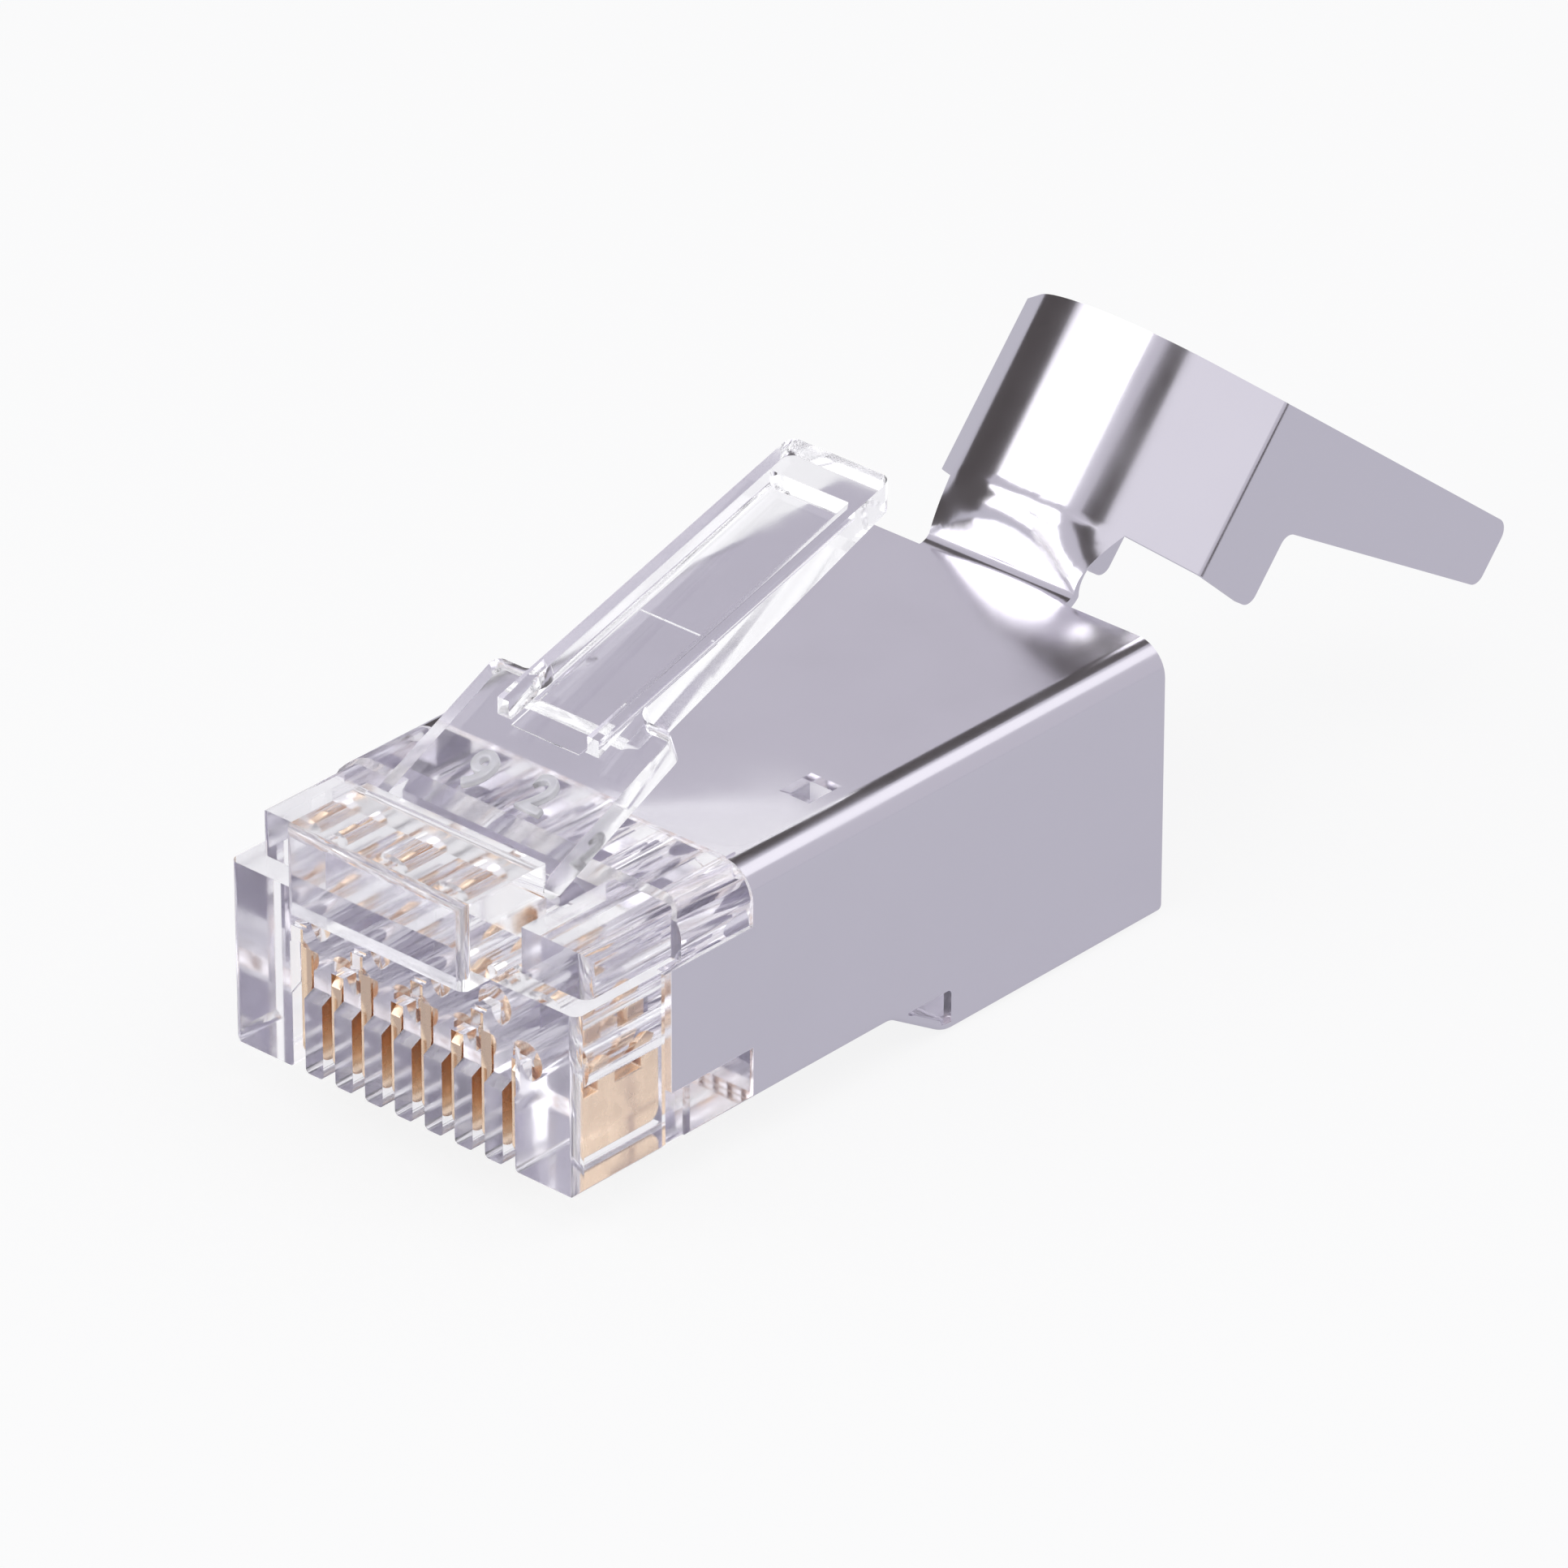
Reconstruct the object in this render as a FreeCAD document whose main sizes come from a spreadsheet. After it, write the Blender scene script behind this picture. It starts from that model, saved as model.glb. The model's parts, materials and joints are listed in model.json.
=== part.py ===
import FreeCAD, Part
import math
import os
import re

import Sketcher

# Shielded eight-way modular plug with a crimp tail. Millimetres, +Z up.
# X runs across the plug, Y runs back from the nose, and Z = 0 is the nose's underside.

SIZES = [
    # Clear housing: the nose that enters the jack
    ("body_width", 11.68),
    ("nose_height", 5.1),
    ("shoulder_inset", 0.34),
    ("shoulder_top", 6.38),
    ("shoulder_front", 0.75),
    ("shoulder_gap", 6.7),
    ("flange_front", 4.15),
    ("flange_ramp", 0.4),
    ("nose_edge_radius", 0.25),
    ("nose_foot_chamfer", 0.2),
    ("lug_front", 4.04),
    ("shoulder_edge_radius", 0.3),
    # Contact slots and wire channels
    ("contact_pitch", 1.016),
    ("slot_width", 0.41),
    ("slot_back", 4.1),
    ("rib_top", 2.1),
    ("recess_top", 3.4),
    ("recess_depth", 0.35),
    ("recess_side", 0.26),
    ("window_bottom", 3.45),
    ("window_top", 4.05),
    ("rib_edge_radius", 0.12),
    ("channel_diameter", 1.1),
    ("channel_front", 1.3),
    ("channel_low", 2.75),
    ("channel_high", 3.95),
    # Cable cavity inside the sleeve
    ("cavity_front", 7.6),
    ("cavity_wall", 1.14),
    ("cavity_floor", 0.9),
    ("cavity_drop", 1.2),
    ("cavity_roof", 5.4),
    ("housing_rear", 20.6),
    # Contact blades
    ("contact_thickness", 0.35),
    ("contact_front", 0.28),
    ("contact_back", 4.0),
    ("contact_bottom", 0.2),
    ("contact_body_top", 1.9),
    ("contact_nose_radius", 0.35),
    ("short_prong_top", 2.9),
    ("tall_prong_top", 4.1),
    ("prong_width", 0.62),
    ("prong_tip", 0.3),
    # Latch root and latch
    ("root_width", 6.0),
    ("root_front", -0.94),
    ("root_rear", 2.0),
    ("root_top", 7.5),
    ("hinge_y", 2.3),
    ("hinge_z", 6.75),
    ("hinge_radius", 0.36),
    ("hinge_clearance", 0.04),
    ("plate_width", 6.0),
    ("plate_thickness", 0.8),
    ("plate_slope", 25.0),
    ("plate_length", 4.9),
    ("tab_width", 3.4),
    ("tab_front", 5.3),
    ("tab_rear", 16.05),
    ("tab_slope", 16.0),
    ("tab_lift", 0.45),
    ("tab_depth", 1.6),
    ("tab_tip_depth", 0.8),
    ("tab_floor_depth", 0.5),
    ("tab_rail", 0.38),
    ("tab_floor_step", 0.05),
    ("tab_step_back", 4.6),
    ("latch_corner_radius", 0.3),
    ("tab_root_radius", 0.4),
    ("channel_corner_radius", 0.18),
    # Folded sheet shield
    ("sheet", 0.25),
    ("shell_top", 6.55),
    ("shell_drop", 1.2),
    ("ramp_front", 11.6),
    ("ramp_back", 13.6),
    ("shell_front", 6.35),
    ("shell_rear", 21.8),
    ("shell_top_radius", 0.9),
    ("shell_foot_radius", 0.32),
    ("ramp_radius", 0.9),
    ("lip_length", 0.3),
    ("lip_rise", 0.06),
    ("cheek_front", 3.4),
    ("cheek_bottom", 1.55),
    ("cheek_top", 4.97),
    ("relief_front", 12.1),
    ("relief_top", 0.06),
    ("relief_back", 13.71),
    ("relief_slot", 0.33),
    ("relief_end_radius", 0.14),
    ("lance_width", 1.0),
    ("lance_length", 1.2),
    ("lance_centre_x", 4.1),
    ("lance_front", 9.75),
    ("lance_dip", 0.45),
    ("lance_reach", 0.75),
    ("lance_recess", 0.65),
    # Crimp tail
    ("tail_angle", 48.0),
    ("bend_radius", 0.5),
    ("neck_width", 4.9),
    ("neck_flare", 0.45),
    ("collar_front", 1.9),
    ("collar_rear", 6.85),
    ("crown_radius", 3.94),
    ("crown_rise", 0.99),
    ("flank_angle", 47.0),
    ("collar_width", 8.92),
    ("wing_short", 4.4),
    ("finger_width", 1.85),
    ("right_finger_reach", 13.4),
    ("left_finger_reach", 10.35),
    ("finger_skew", 0.9),
    ("finger_notch", 4.1),
    ("crease_radius", 0.25),
    ("wing_corner_radius", 0.4),
]

CONTACT_COUNT = 8

document = FreeCAD.newDocument("modular_plug")


def make_sheet():
    """Fill the spreadsheet that every sub-part reads its sizes from."""
    sheet = document.addObject("Spreadsheet::Sheet", "sizes")
    for row, (name, value) in enumerate(SIZES, start=1):
        sheet.set(f"A{row}", name)
        sheet.set(f"B{row}", str(value))
        sheet.setAlias(f"B{row}", name)
    document.recompute()
    return sheet


sizes = make_sheet()


def size(name):
    return float(sizes.get(name))


def bound(expression):
    """Write each alias in an expression as a cell of the sizes sheet."""
    names = {name for name, _ in SIZES}
    return re.sub(r"[a-z_]+", lambda word: f"sizes.{word[0]}" if word[0] in names else word[0], expression)


# ---------------------------------------------------------------- building blocks

def make_body(label):
    body = document.addObject("PartDesign::Body", label)
    body.Label = label
    return body


def sketch_on(body, role, name, offset="0"):
    """A sketch on one of the body's own planes, moved along that plane's normal by offset."""
    sketch = body.newObject("Sketcher::SketchObject", name)
    plane = next(item for item in body.Origin.OriginFeatures if item.Role == role)
    sketch.AttachmentSupport = (plane, "")
    sketch.MapMode = "FlatFace"
    if offset != "0":
        sketch.setExpression("AttachmentOffset.Base.z", bound(offset))
    return sketch


def closed_outline(sketch, corners):
    """Straight lines through corners, each a pair of expressions for the sketch's two axes."""
    count = len(corners)
    start = [FreeCAD.Vector(10 * math.cos(2 * math.pi * i / count), 10 * math.sin(2 * math.pi * i / count), 0)
             for i in range(count)]
    first = sketch.GeometryCount
    for i in range(count):
        sketch.addGeometry(Part.LineSegment(start[i], start[(i + 1) % count]), False)
    for i in range(count):
        follower = first + (i + 1) % count
        sketch.addConstraint(Sketcher.Constraint("Coincident", first + i, 2, follower, 1))
    for i, (across, up) in enumerate(corners):
        for kind, value, text in (("DistanceX", start[i].x, across), ("DistanceY", start[i].y, up)):
            index = sketch.addConstraint(Sketcher.Constraint(kind, -1, 1, first + i, 1, value))
            sketch.setExpression(f"Constraints[{index}]", bound(text))


def circle(sketch, across, up, radius):
    """A circle whose centre and radius are expressions."""
    index = sketch.addGeometry(Part.Circle(FreeCAD.Vector(1, 1, 0), FreeCAD.Vector(0, 0, 1), 1), False)
    for kind, text in (("DistanceX", across), ("DistanceY", up)):
        row = sketch.addConstraint(Sketcher.Constraint(kind, -1, 1, index, 3, 1.0))
        sketch.setExpression(f"Constraints[{row}]", bound(text))
    row = sketch.addConstraint(Sketcher.Constraint("Radius", index, 1.0))
    sketch.setExpression(f"Constraints[{row}]", bound(radius))


def side_prism(body, kind, name, corners, width, middle="0"):
    """Pad or pocket a Y-Z outline by width across X, centred on X = middle."""
    sketch = sketch_on(body, "YZ_Plane", f"{name}_outline", middle)
    closed_outline(sketch, corners)
    feature = body.newObject(f"PartDesign::{kind}", name)
    feature.Profile = sketch
    feature.SideType = "Symmetric"
    feature.setExpression("Length", bound(width))
    document.recompute()
    return feature


def repeat_across(body, feature, name, copies, step):
    """Repeat a side prism along X."""
    pattern = body.newObject("PartDesign::LinearPattern", name)
    pattern.Originals = [feature]
    pattern.Direction = (feature.Profile[0], ["N_Axis"])
    pattern.setExpression("Length", bound(f"({copies - 1}) * {step}"))
    pattern.Occurrences = copies
    body.Tip = pattern
    document.recompute()
    return pattern


def edges_where(shape, test):
    return [f"Edge{i + 1}" for i, edge in enumerate(shape.Edges) if test(edge)]


def along(edge, axis):
    """True for a straight edge that runs along the given axis."""
    if len(edge.Vertexes) < 2 or edge.Length < 1e-6:
        return False
    direction = edge.Vertexes[-1].Point - edge.Vertexes[0].Point
    return near(direction.Length, edge.Length) and near(abs(direction.dot(axis)), edge.Length)


def near(first, second):
    return abs(first - second) < 1e-4


def dress(body, kind, name, edges, amount):
    """Fillet or chamfer the named edges of the body's tip."""
    before = body.Tip
    feature = body.newObject(f"PartDesign::{kind}", name)
    feature.Base = (before, edges)
    feature.setExpression("Radius" if kind == "Fillet" else "Size", bound(amount))
    body.Tip = feature
    document.recompute()
    return feature


ACROSS = FreeCAD.Vector(1, 0, 0)
BACK = FreeCAD.Vector(0, 1, 0)
UPWARD = FreeCAD.Vector(0, 0, 1)


# ---------------------------------------------------------------- clear housing

def sleeve_corners(front, rear, inset):
    """Y-Z outline of the stepped rear section, inset by the sheet's thickness."""
    return [
        (front, inset),
        ("ramp_front", inset),
        ("ramp_back", f"{inset} - shell_drop"),
        (rear, f"{inset} - shell_drop"),
        (rear, f"shell_top - {inset}"),
        (front, f"shell_top - {inset}"),
    ]


def stepped_block(body, name, front, rear, inset):
    """The rear section as a solid block with its long edges rounded."""
    side_prism(body, "Pad", name, sleeve_corners(front, rear, inset), f"body_width - 2 * {inset}")
    step = 0 if inset == "0" else size(inset)
    for place, level, radius in (("ramp_front", step, f"ramp_radius + {inset}"),
                                 ("ramp_back", step - size("shell_drop"), f"ramp_radius - {inset}")):
        bend = edges_where(body.Tip.Shape, lambda e: along(e, ACROSS) and near(e.CenterOfMass.z, level)
                           and near(e.CenterOfMass.y, size(place)))
        dress(body, "Fillet", f"{name}_{place}", bend, radius)
    half = size("body_width") / 2 - step
    top = size("shell_top") - step
    crest = edges_where(body.Tip.Shape, lambda e: along(e, BACK) and near(e.CenterOfMass.z, top))
    dress(body, "Fillet", f"{name}_crest", crest, f"shell_top_radius - {inset}")
    foot = edges_where(body.Tip.Shape, lambda e: near(abs(e.CenterOfMass.x), half)
                       and e.CenterOfMass.z < 1 and e.BoundBox.YLength > 0.1)
    dress(body, "Fillet", f"{name}_foot", foot, f"shell_foot_radius - {inset}")


def make_housing():
    body = make_body("housing")
    stepped_block(body, "sleeve", "shell_front - 1", "housing_rear", "sheet")

    side_prism(body, "Pad", "nose",
               [("0", "0"), ("shell_front", "0"), ("shell_front", "nose_height"), ("0", "nose_height")],
               "body_width")
    foot = edges_where(body.Tip.Shape, lambda e: along(e, BACK) and near(e.CenterOfMass.z, 0)
                       and near(abs(e.CenterOfMass.x), size("body_width") / 2))
    dress(body, "Chamfer", "nose_foot", foot, "nose_foot_chamfer")
    corners = edges_where(body.Tip.Shape, lambda e: along(e, UPWARD) and near(e.CenterOfMass.y, 0))
    dress(body, "Fillet", "nose_corners", corners, "nose_edge_radius")

    for side, name in ((1, "right"), (-1, "left")):
        side_prism(body, "Pad", f"{name}_shoulder",
                   [("shoulder_front", "nose_height - 1"), ("flange_front", "nose_height - 1"),
                    ("flange_front", "shoulder_top"), ("shoulder_front", "shoulder_top")],
                   "((body_width - 2 * shoulder_inset) - shoulder_gap) / 2",
                   f"{side} * ((body_width - 2 * shoulder_inset) + shoulder_gap) / 4")
    outer = size("body_width") / 2 - size("shoulder_inset")
    corners = edges_where(body.Tip.Shape, lambda e: near(abs(e.CenterOfMass.x), outer)
                          and e.CenterOfMass.z > size("nose_height") + 0.1
                          and (near(e.CenterOfMass.z, size("shoulder_top"))
                               or near(e.CenterOfMass.y, size("shoulder_front"))))
    dress(body, "Fillet", "shoulder_corners", corners, "shoulder_edge_radius")

    side_prism(body, "Pad", "flange",
               [("flange_front - flange_ramp", "nose_height - 1"), ("shell_front", "nose_height - 1"),
                ("shell_front", "shell_top"), ("flange_front", "shell_top"),
                ("flange_front - flange_ramp", "shell_top - flange_ramp")], "body_width")
    crest = edges_where(body.Tip.Shape, lambda e: along(e, BACK) and near(e.Vertexes[0].Z, size("shell_top")))
    dress(body, "Fillet", "flange_crest", crest, "shell_top_radius")

    side_prism(body, "Pad", "latch_root",
               [("root_front", "nose_height"), ("root_rear", "nose_height"), ("root_rear", "root_top"),
                ("root_front", "root_top")], "root_width")
    corners = edges_where(body.Tip.Shape, lambda e: near(e.CenterOfMass.y, size("root_front"))
                          and (along(e, UPWARD) or near(e.CenterOfMass.z, size("root_top"))))
    dress(body, "Fillet", "root_corners", corners, "nose_edge_radius")
    return body


def cut_nose(body):
    """Contact slots, front windows and wire channels."""
    pitch = "contact_pitch"
    for name, first, reach in (("tall", "-3.5", "tall_prong_top"), ("short", "-2.5", "short_prong_top")):
        slot = side_prism(body, "Pocket", f"{name}_slot",
                          [("-1", "-1"), ("slot_back", "-1"), ("slot_back", reach),
                           ("contact_front", reach), ("contact_front", "rib_top + recess_depth"),
                           ("-1", "rib_top + recess_depth")],
                          "slot_width", f"{first} * {pitch}")
        repeat_across(body, slot, f"{name}_slots", CONTACT_COUNT // 2, f"2 * {pitch}")
    side_prism(body, "Pocket", "front_recess",
               [("-1", "rib_top"), ("0", "rib_top"), ("recess_depth", "rib_top + recess_depth / 2"),
                ("recess_depth", "recess_top"), ("0", "recess_top + recess_depth / 2"),
                ("-1", "recess_top + recess_depth / 2")],
               f"{CONTACT_COUNT} * {pitch} - 2 * recess_side")
    window = side_prism(body, "Pocket", "front_window",
                        [("-1", "window_bottom"), ("contact_front + 0.1", "window_bottom"),
                         ("contact_front + 0.1", "window_top"), ("-1", "window_top")],
                        "slot_width", f"-3.5 * {pitch}")
    repeat_across(body, window, "front_windows", CONTACT_COUNT // 2, f"2 * {pitch}")

    for name, first, height in (("high", "-3.5", "channel_high"), ("low", "-2.5", "channel_low")):
        sketch = sketch_on(body, "XZ_Plane", f"{name}_channel_mouths", "0 - channel_front")
        for i in range(CONTACT_COUNT // 2):
            circle(sketch, f"({first} + {2 * i}) * {pitch}", height, "channel_diameter / 2")
        channels = body.newObject("PartDesign::Pocket", f"{name}_channels")
        channels.Profile = sketch
        channels.setExpression("Length", bound("cavity_front + 0.1 - channel_front"))
        body.Tip = channels
        document.recompute()

    ribs = edges_where(body.Tip.Shape, lambda e: along(e, BACK) and near(e.CenterOfMass.z, 0)
                       and abs(e.CenterOfMass.x) < size("body_width") / 2 - 1)
    dress(body, "Fillet", "rib_edges", ribs, "rib_edge_radius")


def cut_sleeve(body):
    """Cable cavity, cheek recesses for the shield, and the hinge seat behind the latch root."""
    side_prism(body, "Pocket", "cable_cavity",
               [("cavity_front", "cavity_floor"), ("ramp_front", "cavity_floor"),
                ("ramp_back", "cavity_floor - cavity_drop"), ("housing_rear + 1", "cavity_floor - cavity_drop"),
                ("housing_rear + 1", "cavity_roof"), ("cavity_front", "cavity_roof")], "body_width - 2 * cavity_wall")
    for side, name in ((1, "right"), (-1, "left")):
        side_prism(body, "Pocket", f"{name}_cheek_recess",
                   [("cheek_front - sheet", "-1"), ("lug_front", "-1"), ("lug_front", "cheek_bottom"),
                    ("shell_front", "cheek_bottom"), ("shell_front", "cheek_top"),
                    ("cheek_front - sheet", "cheek_top")],
                   "2 * sheet", f"{side} * body_width / 2")
        side_prism(body, "Pocket", f"{name}_lance_recess",
                   [("lance_front", "shell_top - sheet - lance_recess"),
                    ("lance_front + lance_length", "shell_top - sheet - lance_recess"),
                    ("lance_front + lance_length", "shell_top"), ("lance_front", "shell_top")],
                   "lance_width + 0.1", f"{side} * lance_centre_x")
    sketch = sketch_on(body, "YZ_Plane", "hinge_seat_outline")
    circle(sketch, "hinge_y", "hinge_z", "hinge_radius + hinge_clearance")
    seat = body.newObject("PartDesign::Pocket", "hinge_seat")
    seat.Profile = sketch
    seat.SideType = "Symmetric"
    seat.setExpression("Length", bound("root_width + 1"))
    body.Tip = seat
    document.recompute()


# ---------------------------------------------------------------- contact blades

def make_contact(number):
    """One gold-plated blade; odd positions reach the high wires and even ones the low wires."""
    tall = number % 2 == 1
    top = "tall_prong_top" if tall else "short_prong_top"
    body = make_body(f"contact_{number}")
    gap = "(contact_back - contact_front - 3 * prong_width) / 2"
    corners = [("contact_back", "contact_bottom"), ("contact_back", f"{top} - prong_tip"),
               ("contact_back - prong_width / 2", top)]
    for prong in range(3):
        back = f"contact_back - {prong} * (prong_width + {gap})"
        if prong:
            corners += [(back, "contact_body_top"), (back, f"{top} - prong_tip"),
                        (f"{back} - prong_width / 2", top)]
        corners += [(f"{back} - prong_width", f"{top} - prong_tip")]
        if prong < 2:
            corners += [(f"{back} - prong_width", "contact_body_top")]
    corners += [("contact_front", "contact_bottom")]
    side_prism(body, "Pad", f"blade_{number}", corners, "contact_thickness")
    toes = edges_where(body.Tip.Shape, lambda e: along(e, ACROSS)
                       and near(e.CenterOfMass.z, size("contact_bottom")))
    dress(body, "Fillet", f"blade_{number}_toes", toes, "contact_nose_radius")
    offset = f"({number} - {(CONTACT_COUNT + 1) / 2}) * contact_pitch"
    body.setExpression("Placement.Base.x", bound(offset))
    document.recompute()
    return body


# ---------------------------------------------------------------- latch

def make_latch():
    body = make_body("latch")
    run = "plate_length * cos(plate_slope)"
    climb = "plate_length * sin(plate_slope)"
    skin_y = "plate_thickness * sin(plate_slope) / 2"
    skin_z = "plate_thickness * cos(plate_slope) / 2"
    side_prism(body, "Pad", "plate",
               [(f"hinge_y + {skin_y}", f"hinge_z - {skin_z}"),
                (f"hinge_y + {run} + {skin_y}", f"hinge_z + {climb} - {skin_z}"),
                (f"hinge_y + {run} + {skin_y} - plate_thickness / 3", f"hinge_z + {climb} + {skin_z}"),
                (f"hinge_y - {skin_y}", f"hinge_z + {skin_z}")], "plate_width")
    sketch = sketch_on(body, "YZ_Plane", "knuckle_outline")
    circle(sketch, "hinge_y", "hinge_z", "hinge_radius")
    knuckle = body.newObject("PartDesign::Pad", "knuckle")
    knuckle.Profile = sketch
    knuckle.SideType = "Symmetric"
    knuckle.setExpression("Length", bound("plate_width"))
    body.Tip = knuckle
    document.recompute()

    top = f"hinge_z + {skin_z} + (tab_front - hinge_y + {skin_y}) * tan(plate_slope) + tab_lift"
    fall = "(tab_rear - tab_front) * tan(tab_slope)"
    side_prism(body, "Pad", "tab",
               [("tab_front", f"{top} - tab_lift - 0.2"), ("tab_front", top),
                ("tab_rear", f"{top} + {fall}"), ("tab_rear", f"{top} + {fall} - tab_tip_depth"),
                ("tab_front + 1.6", f"{top} + 1.6 * tan(tab_slope) - tab_depth"),
                ("tab_front + 1.2", f"{top} + 1.2 * tan(tab_slope) - tab_depth + 0.3")], "tab_width")
    side = size("tab_width") / 2
    roots = edges_where(body.Tip.Shape, lambda e: near(e.Vertexes[0].X, side * (1 if e.CenterOfMass.x > 0 else -1))
                        and near(e.Vertexes[0].X, e.Vertexes[-1].X)
                        and e.CenterOfMass.y > size("tab_front") + 0.5 and e.CenterOfMass.y < size("tab_front") + 1.8
                        and e.Length < 0.9 and e.CenterOfMass.z > size("hinge_z") + 1.7)
    dress(body, "Fillet", "tab_roots", roots, "tab_root_radius")
    side_prism(body, "Pocket", "tab_channel",
               [("tab_front - 0.3", f"{top} - 0.3 * tan(tab_slope) - tab_floor_depth"),
                ("tab_rear - 1.2", f"{top} + (tab_rear - tab_front - 1.2) * tan(tab_slope) - tab_floor_depth"),
                ("tab_rear - 1.2", f"{top} + {fall} + 1"), ("tab_front - 0.3", f"{top} + {fall} + 1")],
               "tab_width - 2 * tab_rail")
    inner = size("tab_width") / 2 - size("tab_rail")
    long_edges = [e for e in body.Tip.Shape.Edges if near(abs(e.Vertexes[0].X), inner)
                  and near(e.Vertexes[0].X, e.Vertexes[-1].X)
                  and e.Length > 0.7 * (size("tab_rear") - size("tab_front"))]
    middle = sum(e.CenterOfMass.z for e in long_edges) / len(long_edges)
    floor = edges_where(body.Tip.Shape, lambda e: e.CenterOfMass.z < middle
                        and any(e.isSame(line) for line in long_edges))
    dress(body, "Fillet", "channel_corners", floor, "channel_corner_radius")
    side_prism(body, "Pocket", "tab_step",
               [("tab_front - 0.1", f"{top} - 0.1 * tan(tab_slope) - tab_floor_depth - tab_floor_step"),
                ("tab_front + tab_step_back",
                 f"{top} + tab_step_back * tan(tab_slope) - tab_floor_depth - tab_floor_step"),
                ("tab_front + tab_step_back", f"{top} + {fall} + 1"), ("tab_front - 0.1", f"{top} + {fall} + 1")],
               "tab_width - 2 * tab_rail - 2 * channel_corner_radius")
    half = size("plate_width") / 2
    ears = edges_where(body.Tip.Shape, lambda e: near(abs(e.CenterOfMass.x), half)
                       and e.CenterOfMass.y > size("hinge_y") + 0.9 * size("plate_length")
                       * math.cos(math.radians(size("plate_slope"))) and e.BoundBox.YLength < 0.5)
    dress(body, "Fillet", "ear_corners", ears, "latch_corner_radius")
    tips = edges_where(body.Tip.Shape, lambda e: along(e, UPWARD) and near(e.CenterOfMass.y, size("tab_rear"))
                       and near(abs(e.CenterOfMass.x), size("tab_width") / 2))
    dress(body, "Fillet", "tab_corners", tips, "latch_corner_radius")
    return body


# ---------------------------------------------------------------- shield

def make_shell():
    """The folded box round the sleeve, with its cheeks, windows, lances and bent-up neck."""
    body = make_body("shell")
    stepped_block(body, "shell_block", "cheek_front", "shell_rear", "0")
    core = make_body("shell_core")
    stepped_block(core, "core_block", "cheek_front - 1", "shell_rear + 1", "sheet")
    bore = body.newObject("PartDesign::Boolean", "shell_bore")
    bore.setObjects([core])
    bore.Type = "Cut"
    document.recompute()

    side_prism(body, "Pocket", "upper_front_cut",
               [("cheek_front - 1", "cheek_top"), ("shell_front", "cheek_top"),
                ("shell_front", "shell_top + 1"), ("cheek_front - 1", "shell_top + 1")], "body_width + 2")
    side_prism(body, "Pocket", "lower_front_cut",
               [("cheek_front - 1", "-1"), ("shell_front", "-1"), ("shell_front", "cheek_bottom"),
                ("cheek_front - 1", "cheek_bottom")], "body_width + 2")
    slope = "shell_drop / (ramp_back - ramp_front)"
    side_prism(body, "Pocket", "ramp_relief",
               [("relief_front", "relief_top - 0.1"), ("relief_front", "relief_top"),
                ("relief_back", "relief_top"),
                ("relief_back", "1.3 * sheet - shell_drop"),
                ("relief_back - relief_slot", "1.3 * sheet - shell_drop"),
                ("relief_back - relief_slot - 0.1",
                 f"1.3 * sheet - shell_drop + (ramp_back + 0.1 + relief_slot - relief_back) * {slope}"),
                ("relief_front + 0.2", "1.3 * sheet - (relief_front + 0.2 - ramp_front) * " + slope)],
               "body_width + 2")
    ends = edges_where(body.Tip.Shape, lambda e: along(e, ACROSS) and near(e.CenterOfMass.z, size("relief_top"))
                       and near(e.CenterOfMass.y, size("relief_back")))
    dress(body, "Fillet", "relief_ends", ends, "relief_end_radius")
    for side, name in ((1, "right"), (-1, "left")):
        sketch = sketch_on(body, "XY_Plane", f"{name}_lance_outline", "shell_top + 0.5")
        inner = f"{side} * lance_centre_x - lance_width / 2"
        outer = f"{side} * lance_centre_x + lance_width / 2"
        closed_outline(sketch, [(inner, "lance_front"), (outer, "lance_front"),
                                (outer, "lance_front + lance_length"), (inner, "lance_front + lance_length")])
        lance = body.newObject("PartDesign::Pocket", f"{name}_lance")
        lance.Profile = sketch
        lance.Length = 1.0
        body.Tip = lance
        document.recompute()
        side_prism(body, "Pad", f"{name}_tongue",
                   [("lance_front - 0.05", "shell_top - sheet"), ("lance_front - 0.05", "shell_top"),
                    ("lance_front", "shell_top"),
                    ("lance_front + lance_reach", "shell_top - lance_dip"),
                    ("lance_front + lance_reach - 0.1", "shell_top - lance_dip - sheet"),
                    ("lance_front", "shell_top - sheet")],
                   "lance_width - 0.1", f"{side} * lance_centre_x")
    side_prism(body, "Pad", "front_lip",
               [("shell_front", "shell_top - sheet / 2"),
                ("shell_front + lip_length + lip_rise", "shell_top - sheet / 2"),
                ("shell_front + lip_length + lip_rise", "shell_top"),
                ("shell_front + lip_length", "shell_top + lip_rise"),
                ("shell_front", "shell_top + lip_rise")], "body_width - 2 * shell_top_radius")

    sketch = sketch_on(body, "XZ_Plane", "neck_root", "0 - shell_rear")
    sketch.setExpression("AttachmentOffset.Base.y", bound("shell_top + bend_radius"))
    closed_outline(sketch, [("neck_width / -2", "0 - bend_radius - sheet"),
                            ("neck_width / 2", "0 - bend_radius - sheet"),
                            ("neck_width / 2", "0 - bend_radius"), ("neck_width / -2", "0 - bend_radius")])
    bend = body.newObject("PartDesign::Revolution", "neck_bend")
    bend.Profile = sketch
    bend.ReferenceAxis = (sketch, ["H_Axis"])
    bend.setExpression("Angle", bound("tail_angle"))
    body.Tip = bend
    document.recompute()
    return body


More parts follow.
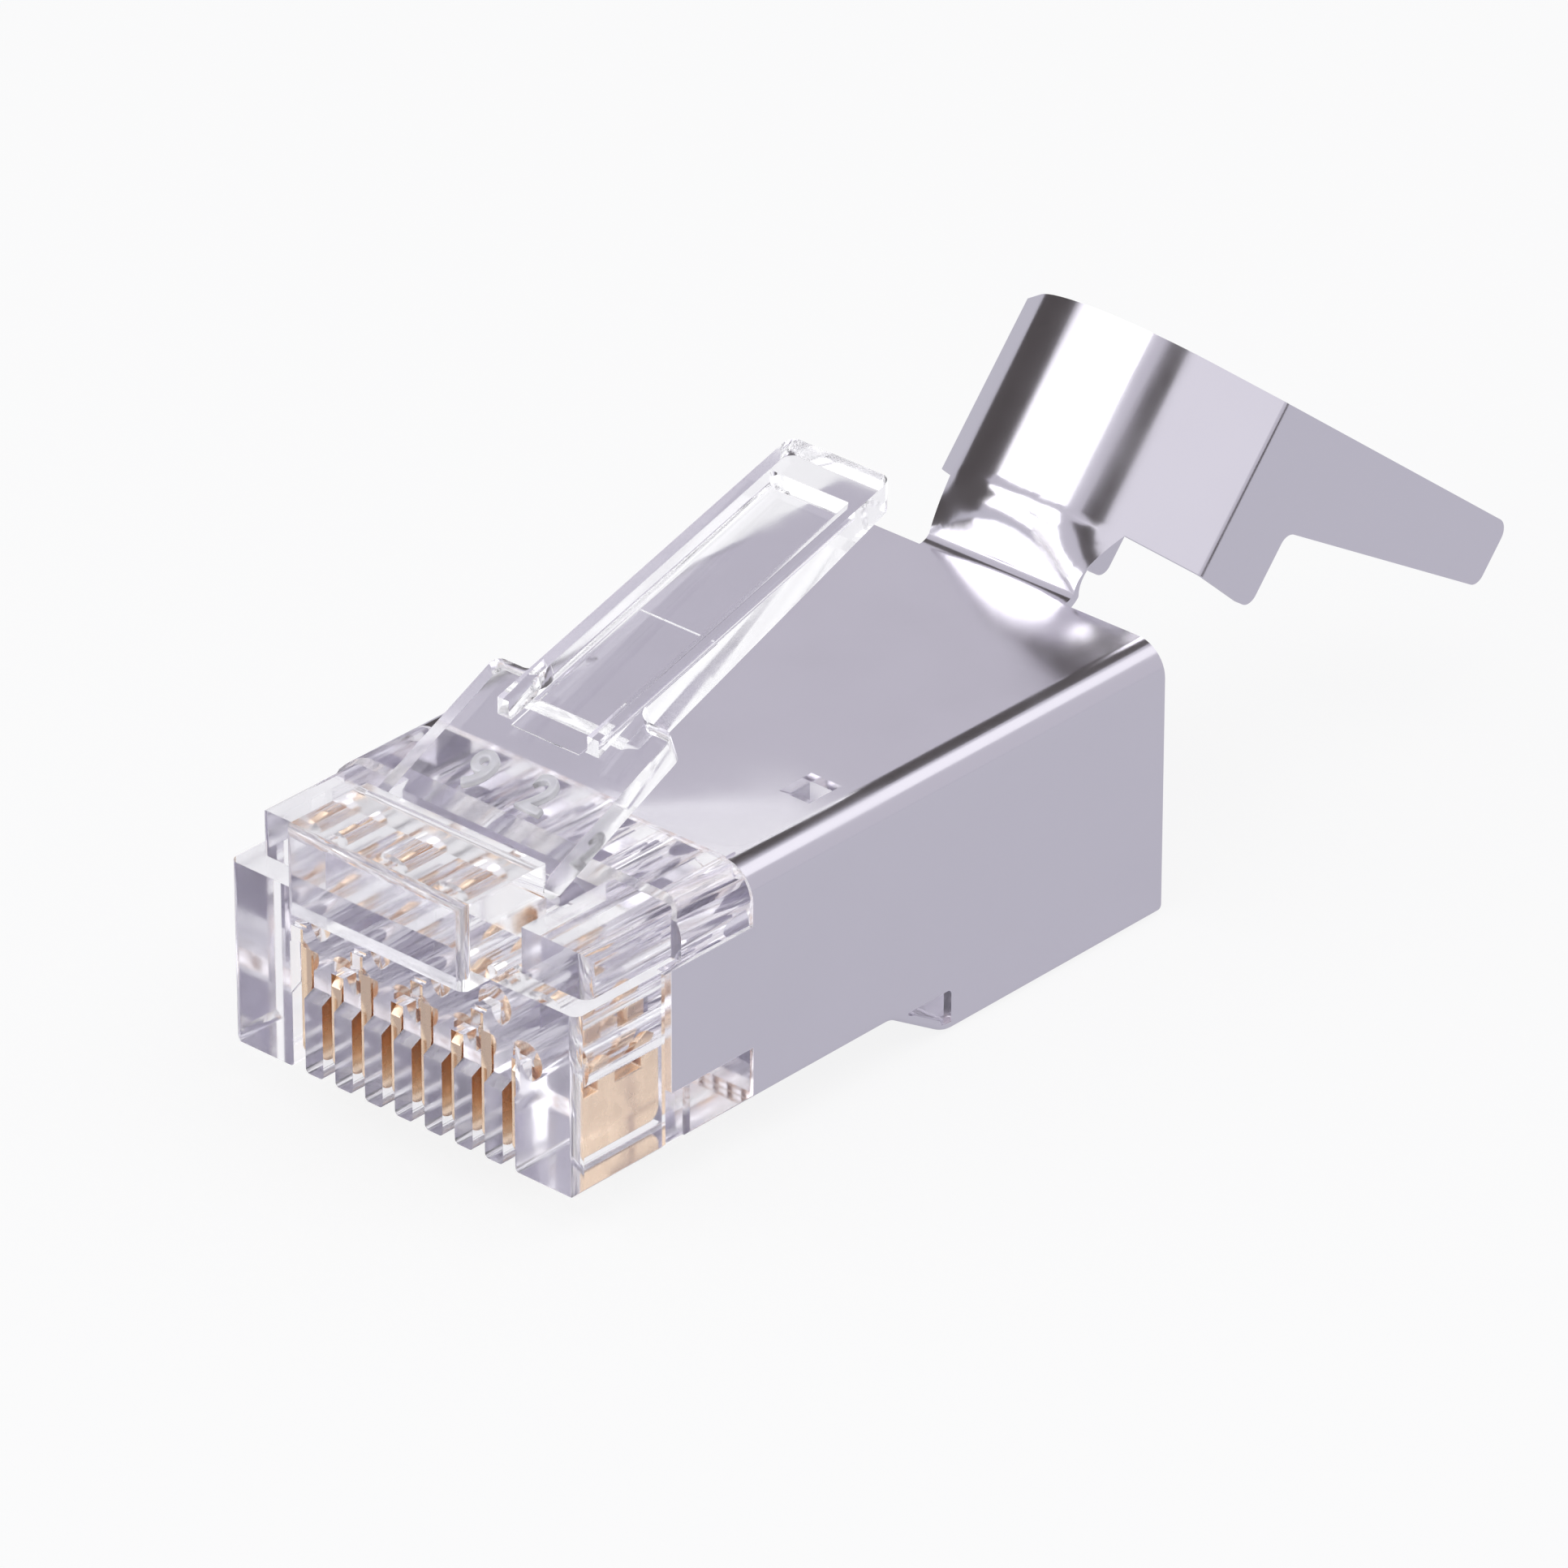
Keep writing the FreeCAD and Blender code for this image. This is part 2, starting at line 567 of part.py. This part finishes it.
def arched_section(sketch, share, flare):
    """A strip of sheet arched to a share of the crown's curve and rise, flared by a share of neck_flare."""
    radius = f"crown_radius / {share}"
    height = f"{share} * crown_rise - bend_radius - {radius}"
    half = f"(neck_width / 2 + {flare} * neck_flare)"
    outer = size("crown_radius") / share
    centre = FreeCAD.Vector(0, share * size("crown_rise") - size("bend_radius") - outer, 0)
    angle = math.asin((size("neck_width") / 2 + flare * size("neck_flare")) / outer)
    arcs = []
    for value, text in ((outer, radius), (outer - size("sheet"), f"{radius} - sheet")):
        round_line = Part.Circle(centre, UPWARD, value)
        arc = sketch.addGeometry(Part.ArcOfCircle(round_line, math.pi / 2 - angle, math.pi / 2 + angle), False)
        for kind, place, place_text in (("DistanceX", centre.x, "0"), ("DistanceY", centre.y, height)):
            row = sketch.addConstraint(Sketcher.Constraint(kind, -1, 1, arc, 3, place))
            sketch.setExpression(f"Constraints[{row}]", bound(place_text))
        row = sketch.addConstraint(Sketcher.Constraint("Radius", arc, value))
        sketch.setExpression(f"Constraints[{row}]", bound(text))
        for pos, sign in ((1, "1"), (2, "-1")):
            point = sketch.getPoint(arc, pos)
            row = sketch.addConstraint(Sketcher.Constraint("DistanceX", -1, 1, arc, pos, point.x))
            sketch.setExpression(f"Constraints[{row}]", bound(f"{sign} * {half} * ({text}) / ({radius})"))
        arcs.append(arc)
    for pos in (1, 2):
        line = Part.LineSegment(sketch.getPoint(arcs[0], pos), sketch.getPoint(arcs[1], pos))
        end = sketch.addGeometry(line, False)
        sketch.addConstraint(Sketcher.Constraint("Coincident", arcs[0], pos, end, 1))
        sketch.addConstraint(Sketcher.Constraint("Coincident", arcs[1], pos, end, 2))


# Where the neck's sections stand as shares of collar_front, how far each is arched, and how far flared
NECK_STATIONS = ((0.22, 0.5, 0.05), (0.5, 0.88, 0.3), (1.03, 1.0, 1.0))


def make_tail():
    """Neck and crimp collar, built lying back along +Y and tipped up about the bend's axis."""
    body = make_body("tail")
    apex = "crown_rise - bend_radius + crown_radius * (1 / cos(flank_angle) - 1)"
    inner_apex = f"{apex} - sheet / cos(flank_angle)"
    half = "collar_width / 2"
    inner_half = "(collar_width / 2 - sheet)"
    deep = "0 - bend_radius - right_finger_reach"
    section = sketch_on(body, "XZ_Plane", "collar_section", "0 - collar_front")
    closed_outline(section, [
        (f"0 - {half}", deep), (f"0 - {half}", f"{apex} - {half} * tan(flank_angle)"), ("0", apex),
        (half, f"{apex} - {half} * tan(flank_angle)"), (half, deep), (inner_half, deep),
        (inner_half, f"{inner_apex} - {inner_half} * tan(flank_angle)"), ("0", inner_apex),
        (f"0 - {inner_half}", f"{inner_apex} - {inner_half} * tan(flank_angle)"),
        (f"0 - {inner_half}", deep)])
    collar = body.newObject("PartDesign::Pad", "collar")
    collar.Profile = section
    collar.Reversed = True
    collar.setExpression("Length", bound("collar_rear + finger_skew - collar_front"))
    body.Tip = collar
    document.recompute()
    shape = body.Tip.Shape
    lengthwise = [e for e in shape.Edges if along(e, BACK) and e.Length > size("finger_width")]
    peak = max(e.CenterOfMass.z for e in lengthwise if near(e.CenterOfMass.x, 0))
    for name, amount, test in (
            ("crown_outside", "crown_radius", lambda e: near(e.CenterOfMass.x, 0) and near(e.CenterOfMass.z, peak)),
            ("crown_inside", "crown_radius - sheet", lambda e: near(e.CenterOfMass.x, 0)),
            ("crease_outside", "crease_radius + sheet",
             lambda e: near(abs(e.CenterOfMass.x), size("collar_width") / 2) and e.CenterOfMass.z > -4),
            ("crease_inside", "crease_radius",
             lambda e: near(abs(e.CenterOfMass.x), size("collar_width") / 2 - size("sheet"))
             and e.CenterOfMass.z > -4)):
        edges = edges_where(body.Tip.Shape, lambda e: along(e, BACK) and e.Length > size("finger_width") and test(e))
        dress(body, "Fillet", name, edges, amount)
    cut_wings(body)

    start = sketch_on(body, "XZ_Plane", "neck_start")
    closed_outline(start, [("neck_width / -2", "0 - bend_radius - sheet"),
                           ("neck_width / 2", "0 - bend_radius - sheet"),
                           ("neck_width / 2", "0 - bend_radius"), ("neck_width / -2", "0 - bend_radius")])
    stations = []
    for number, (reach, share, flare) in enumerate(NECK_STATIONS, start=1):
        station = sketch_on(body, "XZ_Plane", f"neck_station_{number}", f"0 - {reach} * collar_front")
        arched_section(station, share, flare)
        stations.append(station)
    document.recompute()
    neck = body.newObject("PartDesign::AdditiveLoft", "neck")
    neck.Profile = start
    neck.Sections = stations
    neck.Ruled = False
    body.Tip = neck
    document.recompute()
    return body


def cut_wings(body):
    """Trim the collar's two wings to a short end and a long finger, one at each end."""
    wide = "collar_width + 1"
    tip = "0 - bend_radius - right_finger_reach"
    side_prism(body, "Pocket", "collar_rear_trim",
               [("collar_rear", "3"), ("collar_rear", "0 - bend_radius - 2"),
                ("collar_rear + finger_skew", tip), ("collar_rear + finger_skew", f"{tip} - 1"),
                ("collar_rear + finger_skew + 1", f"{tip} - 1"), ("collar_rear + finger_skew + 1", "3")], wide)
    short = "0 - bend_radius - wing_short"
    side_prism(body, "Pocket", "right_wing_trim",
               [("collar_front - 1", short), ("finger_notch", short),
                ("collar_rear + finger_skew - finger_width", tip),
                ("collar_rear + finger_skew - finger_width", f"{tip} - 1"), ("collar_front - 1", f"{tip} - 1")],
               "2", "collar_width / 2 - 0.5")
    left_tip = "0 - bend_radius - left_finger_reach"
    side_prism(body, "Pocket", "left_wing_trim",
               [("collar_rear + finger_skew + 1", short), ("finger_notch", short),
                ("collar_front + finger_width", left_tip), ("collar_front - 1", left_tip),
                ("collar_front - 1", f"{tip} - 1"), ("collar_rear + finger_skew + 1", f"{tip} - 1")],
               "2", "0.5 - collar_width / 2")
    corners = edges_where(body.Tip.Shape, lambda e: along(e, ACROSS) and near(e.Length, size("sheet"))
                          and e.CenterOfMass.z < 0 - size("bend_radius") - size("wing_short") + 0.01)
    dress(body, "Fillet", "wing_corners", corners, "wing_corner_radius")


def make_shield():
    shell = make_shell()
    tail = make_tail()
    tail.setExpression("Placement.Base.y", bound("shell_rear"))
    tail.setExpression("Placement.Base.z", bound("shell_top + bend_radius"))
    tail.Placement.Rotation = FreeCAD.Rotation(ACROSS, size("tail_angle"))
    tail.setExpression("Placement.Rotation.Angle", bound("tail_angle"))
    shield = document.addObject("Part::MultiFuse", "shield")
    shield.Label = "shield"
    shield.Shapes = [shell, tail]
    shield.Refine = True
    document.recompute()
    return shield


def export(nodes):
    """Check every object, then write one STEP file for each node."""
    document.recompute()
    faults = [item.Name for item in document.Objects
              if "Invalid" in item.State or "Error" in item.State]
    if faults:
        raise RuntimeError(f"features that did not build: {faults}")
    os.makedirs("parts", exist_ok=True)
    for name, node in nodes.items():
        if node.Shape.isNull() or not node.Shape.isValid() or len(node.Shape.Solids) != 1:
            raise RuntimeError(f"{name} is not one sound solid")
        node.Shape.exportStep(f"parts/{name}.step")
        box = node.Shape.BoundBox
        print(f"{name}: {box.XLength:.2f} x {box.YLength:.2f} x {box.ZLength:.2f} mm")


housing = make_housing()
cut_nose(housing)
cut_sleeve(housing)
nodes = {"housing": housing, "latch": make_latch(), "shield": make_shield()}
for number in range(1, CONTACT_COUNT + 1):
    nodes[f"contact_{number}"] = make_contact(number)
export(nodes)
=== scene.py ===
import json
import math

import bmesh
import bpy
from mathutils import Matrix, Vector

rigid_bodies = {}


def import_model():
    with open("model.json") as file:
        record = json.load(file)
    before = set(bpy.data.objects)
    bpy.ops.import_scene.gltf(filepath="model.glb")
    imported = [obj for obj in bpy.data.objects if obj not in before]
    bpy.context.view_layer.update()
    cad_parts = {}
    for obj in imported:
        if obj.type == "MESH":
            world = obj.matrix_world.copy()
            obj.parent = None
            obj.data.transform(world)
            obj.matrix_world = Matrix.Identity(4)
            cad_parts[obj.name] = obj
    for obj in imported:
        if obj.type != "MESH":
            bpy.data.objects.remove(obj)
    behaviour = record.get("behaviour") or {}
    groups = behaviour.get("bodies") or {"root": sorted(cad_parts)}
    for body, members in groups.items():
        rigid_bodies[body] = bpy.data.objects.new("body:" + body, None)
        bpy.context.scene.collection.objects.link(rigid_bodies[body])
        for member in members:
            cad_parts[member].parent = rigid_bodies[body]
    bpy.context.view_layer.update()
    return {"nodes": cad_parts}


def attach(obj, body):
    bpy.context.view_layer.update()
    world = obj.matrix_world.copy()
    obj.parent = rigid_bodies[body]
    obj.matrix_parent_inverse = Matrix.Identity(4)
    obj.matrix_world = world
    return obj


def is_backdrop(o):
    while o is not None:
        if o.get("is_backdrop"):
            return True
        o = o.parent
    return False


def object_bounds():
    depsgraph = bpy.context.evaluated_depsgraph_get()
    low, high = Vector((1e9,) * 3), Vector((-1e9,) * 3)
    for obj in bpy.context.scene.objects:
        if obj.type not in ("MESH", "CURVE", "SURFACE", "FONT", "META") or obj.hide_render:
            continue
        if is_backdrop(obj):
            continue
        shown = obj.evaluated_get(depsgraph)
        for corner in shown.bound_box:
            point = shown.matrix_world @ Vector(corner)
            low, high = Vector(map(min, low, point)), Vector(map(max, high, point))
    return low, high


for thing in list(bpy.data.objects):
    bpy.data.objects.remove(thing)

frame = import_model()
scene = bpy.context.scene


# ---------------------------------------------------------------- the table and its light
# The plug lies latch side up on a plain white table top in a white studio. A broad overhead
# softbox and a long front strip light it, two small lamps fill its far edge and its right cheek,
# and black card flags give the bright plating its dark streaks.

low, high = (Vector(corner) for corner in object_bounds())
middle = (low + high) / 2
white = (1.0, 1.0, 1.0, 1)


def shown_white(tree, path):
    """1 for what the camera sees, straight or through the plastic."""
    either_ray = tree.nodes.new("ShaderNodeMath")
    either_ray.operation = "ADD"
    either_ray.use_clamp = True
    tree.links.new(path.outputs["Is Camera Ray"], either_ray.inputs[0])
    tree.links.new(path.outputs["Is Transmission Ray"], either_ray.inputs[1])
    return either_ray.outputs[0]


table = bpy.data.meshes.new("table_top")
mesh = bmesh.new()
half_width = 1.5
bmesh.ops.create_grid(mesh, x_segments=1, y_segments=1, size=half_width)
bmesh.ops.translate(mesh, verts=mesh.verts, vec=(0, 0, low.z))
mesh.to_mesh(table)
mesh.free()
table_top = bpy.data.objects.new("table_top", table)
scene.collection.objects.link(table_top)
table_top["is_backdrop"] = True

white_table = bpy.data.materials.new("white_table")
white_table.use_nodes = True
tree = white_table.node_tree
paint = tree.nodes["Principled BSDF"]
paint.inputs["Base Color"].default_value = (0.8, 0.8, 0.8, 1)
paint.inputs["Roughness"].default_value = 0.9
path = tree.nodes.new("ShaderNodeLightPath")
surface = paint.outputs[0]
unshadowed = 0.85
for who_sees, colour in ((path.outputs["Is Glossy Ray"], (0.48, 0.465, 0.54, 1)),
                         (shown_white(tree, path), white)):
    glow = tree.nodes.new("ShaderNodeEmission")
    glow.inputs["Color"].default_value = colour
    share = tree.nodes.new("ShaderNodeMath")
    share.operation = "MULTIPLY"
    share.inputs[1].default_value = unshadowed
    tree.links.new(who_sees, share.inputs[0])
    blend_in = tree.nodes.new("ShaderNodeMixShader")
    tree.links.new(share.outputs[0], blend_in.inputs[0])
    tree.links.new(surface, blend_in.inputs[1])
    tree.links.new(glow.outputs[0], blend_in.inputs[2])
    surface = blend_in.outputs[0]
tree.links.new(surface, tree.nodes["Material Output"].inputs["Surface"])
table.materials.append(white_table)

studio = bpy.data.worlds.new("studio")
scene.world = studio
studio.use_nodes = True
tree = studio.node_tree
ambient = tree.nodes["Background"]
ambient.inputs["Color"].default_value = (0.93, 0.93, 1.0, 1)
ambient.inputs["Strength"].default_value = 0.55
path = tree.nodes.new("ShaderNodeLightPath")
surface = ambient.outputs[0]
for who_sees, colour in ((path.outputs["Is Glossy Ray"], (0.535, 0.515, 0.585, 1)),
                         (shown_white(tree, path), white)):
    backdrop = tree.nodes.new("ShaderNodeBackground")
    backdrop.inputs["Color"].default_value = colour
    either = tree.nodes.new("ShaderNodeMixShader")
    tree.links.new(who_sees, either.inputs[0])
    tree.links.new(surface, either.inputs[1])
    tree.links.new(backdrop.outputs[0], either.inputs[2])
    surface = either.outputs[0]
tree.links.new(surface, tree.nodes["World Output"].inputs["Surface"])


def softbox(name, place, aim, width, height, watts):
    """A soft lamp of that width and height, turned to its aim."""
    lamp = bpy.data.lights.new(name, "AREA")
    lamp.shape = "RECTANGLE"
    lamp.size = width
    lamp.size_y = height
    lamp.energy = watts
    box = bpy.data.objects.new(name, lamp)
    box.location = place
    box.rotation_euler = (Vector(aim) - Vector(place)).to_track_quat("-Z", "Y").to_euler()
    scene.collection.objects.link(box)


softbox("overhead_softbox", middle + Vector((0.12, 0.0, 0.33)), middle, 0.30, 0.30, 0.4)
front = middle + Vector((-0.28, -0.29, 0.18))
softbox("front_strip", front, front + Vector((0, 0.85, -0.53)), 0.68, 0.30, 0.8)
softbox("rim_softbox", middle + Vector((0.14, 0.21, 0.25)), middle, 0.20, 0.12, 0.032)
softbox("right_fill", middle + Vector((0.28, -0.15, 0.15)), middle, 0.20, 0.20, 0.026)

black_card = bpy.data.materials.new("black_card")
black_card.use_nodes = True
card_paint = black_card.node_tree.nodes["Principled BSDF"]
card_paint.inputs["Base Color"].default_value = (0.09, 0.078, 0.075, 1)


def flag(name, toward, distance, width, height):
    """A black card that shows in reflections only."""
    card = bpy.data.meshes.new(name)
    mesh = bmesh.new()
    bmesh.ops.create_grid(mesh, x_segments=1, y_segments=1, size=0.5)
    toward = Vector(toward).normalized()
    turn = toward.to_track_quat("Z", "Y").to_matrix().to_4x4()
    size = Matrix.Diagonal((width, height, 1, 1))
    bmesh.ops.transform(mesh, verts=mesh.verts,
                        matrix=Matrix.Translation(middle + distance * toward) @ turn @ size)
    mesh.to_mesh(card)
    mesh.free()
    board = bpy.data.objects.new(name, card)
    scene.collection.objects.link(board)
    board.visible_camera = False
    board.visible_diffuse = False
    board.visible_transmission = False
    board.visible_shadow = False
    card.materials.append(black_card)
    board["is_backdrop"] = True


flag("left_flag", (-0.96, 0.0, 0.12), 0.06, 0.08, 0.05)
flag("back_flag", (-0.26, 0.66, 0.70), 0.30, 0.16, 0.09)
flag("ceiling_flag", (-0.42, 0.22, 0.85), 0.30, 0.20, 0.16)
flag("lens_flag", (0.56, -0.59, 0.58), 0.26, 0.08, 0.10)
flag("right_flag", (0.99, 0.10, 0.05), 0.20, 0.05, 0.04)
flag("zenith_flag", (0.02, 0.16, 0.98), 0.25, 0.11, 0.05)


# ---------------------------------------------------------------- the camera
# A long lens looks down at the nose and the right cheek from 29 degrees above the table.

mm = 0.001
azimuth = math.radians(42.147)
elevation = math.radians(29.040)
right = Vector((math.cos(azimuth), math.sin(azimuth), 0))
forward = Vector((-math.sin(azimuth) * math.cos(elevation),
                  math.cos(azimuth) * math.cos(elevation),
                  -math.sin(elevation)))
up = right.cross(forward)
lens = bpy.data.cameras.new("camera")
lens.lens = 273.99
lens.sensor_width = 36.0
lens.clip_start = 0.01
lens.clip_end = 10.0
camera = bpy.data.objects.new("camera", lens)
aside, above, away = 9.341, 8.219, 293.2
place = (aside * right + above * up - away * forward) * mm
camera.matrix_world = Matrix((
    (right.x, up.x, -forward.x, place.x),
    (right.y, up.y, -forward.y, place.y),
    (right.z, up.z, -forward.z, place.z),
    (0, 0, 0, 1)))
scene.collection.objects.link(camera)
scene.camera = camera
scene.view_settings.view_transform = "Standard"
scene.cycles.max_bounces = 32
scene.cycles.glossy_bounces = 20
scene.cycles.transmission_bounces = 24


# ---------------------------------------------------------------- the folded metal shield
# One blank of thin sheet, folded round the moulding and nickel plated. Its crimp collar and two
# fingers stand open behind it, ready to close round a cable.

handling_marks = bpy.data.node_groups.new("handling_marks", "ShaderNodeTree")
for label, value in (("Size per metre", 900.0), ("Smooth", 0.1), ("Rough", 0.2)):
    socket = handling_marks.interface.new_socket(name=label, in_out="INPUT",
                                                 socket_type="NodeSocketFloat")
    socket.default_value = value
handling_marks.interface.new_socket(name="Roughness", in_out="OUTPUT",
                                    socket_type="NodeSocketFloat")
given = handling_marks.nodes.new("NodeGroupInput")
result = handling_marks.nodes.new("NodeGroupOutput")
where = handling_marks.nodes.new("ShaderNodeTexCoord")
clouds = handling_marks.nodes.new("ShaderNodeTexNoise")
clouds.inputs["Detail"].default_value = 5.0
spread = handling_marks.nodes.new("ShaderNodeMapRange")
spread.inputs["From Min"].default_value = 0.35
spread.inputs["From Max"].default_value = 0.7
handling_marks.links.new(where.outputs["Object"], clouds.inputs["Vector"])
handling_marks.links.new(given.outputs["Size per metre"], clouds.inputs["Scale"])
handling_marks.links.new(clouds.outputs["Fac"], spread.inputs["Value"])
handling_marks.links.new(given.outputs["Smooth"], spread.inputs["To Min"])
handling_marks.links.new(given.outputs["Rough"], spread.inputs["To Max"])
handling_marks.links.new(spread.outputs["Result"], result.inputs["Roughness"])


def add_marks(tree, shader, per_metre, smooth, rough):
    """Let the handling marks set how the shader shines."""
    marks = tree.nodes.new("ShaderNodeGroup")
    marks.node_tree = handling_marks
    marks.inputs["Size per metre"].default_value = per_metre
    marks.inputs["Smooth"].default_value = smooth
    marks.inputs["Rough"].default_value = rough
    tree.links.new(marks.outputs["Roughness"], shader.inputs["Roughness"])


def dress(piece, material, rounding=0.0):
    """Give a CAD node its material and whole faces, with crisp edges or rounded ones."""
    piece.data.materials.clear()
    piece.data.materials.append(material)
    for polygon in piece.data.polygons:
        polygon.use_smooth = True
    sharp_angle = math.radians(30)
    weld = piece.modifiers.new("join_triangles", "WELD")
    weld.merge_threshold = 1e-6
    flat = piece.modifiers.new("flat_faces", "DECIMATE")
    flat.decimate_type = "DISSOLVE"
    flat.angle_limit = math.radians(0.5)
    if rounding:
        edge = piece.modifiers.new("edge_round", "BEVEL")
        edge.limit_method = "ANGLE"
        edge.angle_limit = sharp_angle
        edge.width = rounding
        edge.segments = 2
        edge.harden_normals = True
    else:
        crisp = piece.modifiers.new("crisp_edges", "EDGE_SPLIT")
        crisp.split_angle = sharp_angle
    shade = piece.modifiers.new("true_flats", "WEIGHTED_NORMAL")
    shade.weight = 100
    shade.keep_sharp = True


nickel = bpy.data.materials.new("nickel_plate")
nickel.use_nodes = True
tree = nickel.node_tree
plating = tree.nodes["Principled BSDF"]
plating.inputs["Base Color"].default_value = (0.92, 0.905, 0.94, 1)
plating.inputs["Metallic"].default_value = 1.0
add_marks(tree, plating, 420.0, 0.13, 0.20)
where = tree.nodes.new("ShaderNodeTexCoord")
stretch = tree.nodes.new("ShaderNodeMapping")
stretch.inputs["Scale"].default_value = (9000, 500, 500)
streaks = tree.nodes.new("ShaderNodeTexNoise")
streaks.inputs["Scale"].default_value = 1.0
streaks.inputs["Detail"].default_value = 3.0
rolled = tree.nodes.new("ShaderNodeBump")
rolled.inputs["Strength"].default_value = 0.03
rolled.inputs["Distance"].default_value = 0.00002
tree.links.new(where.outputs["Object"], stretch.inputs["Vector"])
tree.links.new(stretch.outputs["Vector"], streaks.inputs["Vector"])
tree.links.new(streaks.outputs["Fac"], rolled.inputs["Height"])
tree.links.new(rolled.outputs["Normal"], plating.inputs["Normal"])
# A ray can slip into the metal where the sheet lies against the plastic. From inside the sheet is
# empty, so the ray comes out again and leaves no dark spot.
side = tree.nodes.new("ShaderNodeNewGeometry")
empty = tree.nodes.new("ShaderNodeBsdfTransparent")
skin = tree.nodes.new("ShaderNodeMixShader")
tree.links.new(side.outputs["Backfacing"], skin.inputs[0])
tree.links.new(plating.outputs[0], skin.inputs[1])
tree.links.new(empty.outputs[0], skin.inputs[2])
tree.links.new(skin.outputs[0], tree.nodes["Material Output"].inputs["Surface"])

dress(frame["nodes"]["shield"], nickel)


# ---------------------------------------------------------------- the clear housing and latch
# Injection-moulded polycarbonate, polished and clear with a faint violet tint. The latch is the
# same moulding and bends at its thin root.

polycarbonate = bpy.data.materials.new("clear_polycarbonate")
polycarbonate.use_nodes = True
tree = polycarbonate.node_tree
clear = tree.nodes["Principled BSDF"]
clear.inputs["Base Color"].default_value = (0.975, 0.97, 0.995, 1)
clear.inputs["Transmission Weight"].default_value = 1.0
clear.inputs["IOR"].default_value = 1.5
add_marks(tree, clear, 700.0, 0.03, 0.14)
where = tree.nodes.new("ShaderNodeTexCoord")
flow = tree.nodes.new("ShaderNodeTexNoise")
flow.inputs["Scale"].default_value = 500.0
flow.inputs["Detail"].default_value = 2.0
ripple = tree.nodes.new("ShaderNodeBump")
ripple.inputs["Strength"].default_value = 0.05
ripple.inputs["Distance"].default_value = 0.0001
tree.links.new(where.outputs["Object"], flow.inputs["Vector"])
tree.links.new(flow.outputs["Fac"], ripple.inputs["Height"])
tree.links.new(ripple.outputs["Normal"], clear.inputs["Normal"])

for name in ("housing", "latch"):
    dress(frame["nodes"][name], polycarbonate, rounding=0.06 * mm)


# ---------------------------------------------------------------- the cavity number
# The mould's own cavity number: two raised digits on the latch plate, in the same plastic with a
# frosted surface. They are part of the latch moulding, so they swing with it.

frosted = polycarbonate.copy()
frosted.name = "frosted_polycarbonate"
grain = frosted.node_tree.nodes["Principled BSDF"]
grain.inputs["Transmission Weight"].default_value = 0.55
grain.inputs["Base Color"].default_value = (0.95, 0.945, 0.97, 1)

slope = math.radians(25.0)
uphill = Vector((0, math.cos(slope), math.sin(slope)))
off_plate = Vector((0, -math.sin(slope), math.cos(slope)))
sideways = Vector((1, 0, 0))
lift = 0.03
plate_start = Vector((0, 2.131, 7.1125)) * mm
for digit, across, along in (("9", -0.85, 1.75), ("2", 1.15, 1.80)):
    drawn = bpy.data.curves.new(f"digit_{digit}", "FONT")
    drawn.body = digit
    drawn.size = 1.6 * mm
    drawn.align_x = "CENTER"
    drawn.align_y = "CENTER"
    drawn.extrude = 0.08 * mm
    drawn.bevel_depth = 0.05 * mm
    drawn.bevel_resolution = 2
    drawn.offset = -0.01 * mm
    sample = bpy.data.objects.new("sample", drawn)
    scene.collection.objects.link(sample)
    bpy.context.view_layer.update()
    raised = bpy.data.meshes.new_from_object(sample)
    bpy.data.objects.remove(sample)
    place = plate_start + (across * sideways + along * uphill + lift * off_plate) * mm
    raised.transform(Matrix((
        (1, uphill.x, off_plate.x, place.x),
        (0, uphill.y, off_plate.y, place.y),
        (0, uphill.z, off_plate.z, place.z),
        (0, 0, 0, 1))))
    raised.name = f"digit_{digit}"
    raised.materials.clear()
    raised.materials.append(frosted)
    numeral = bpy.data.objects.new(f"digit_{digit}", raised)
    scene.collection.objects.link(numeral)
    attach(numeral, "latch")


# ---------------------------------------------------------------- the contact blades
# Eight stamped phosphor-bronze blades, gold plated, each standing on edge in its slot.

gold = bpy.data.materials.new("gold_plate")
gold.use_nodes = True
tree = gold.node_tree
plating = tree.nodes["Principled BSDF"]
plating.inputs["Base Color"].default_value = (0.95, 0.74, 0.54, 1)
plating.inputs["Metallic"].default_value = 1.0
add_marks(tree, plating, 2500.0, 0.18, 0.35)

for name, blade in frame["nodes"].items():
    if name.startswith("contact_"):
        dress(blade, gold, rounding=0.04 * mm)
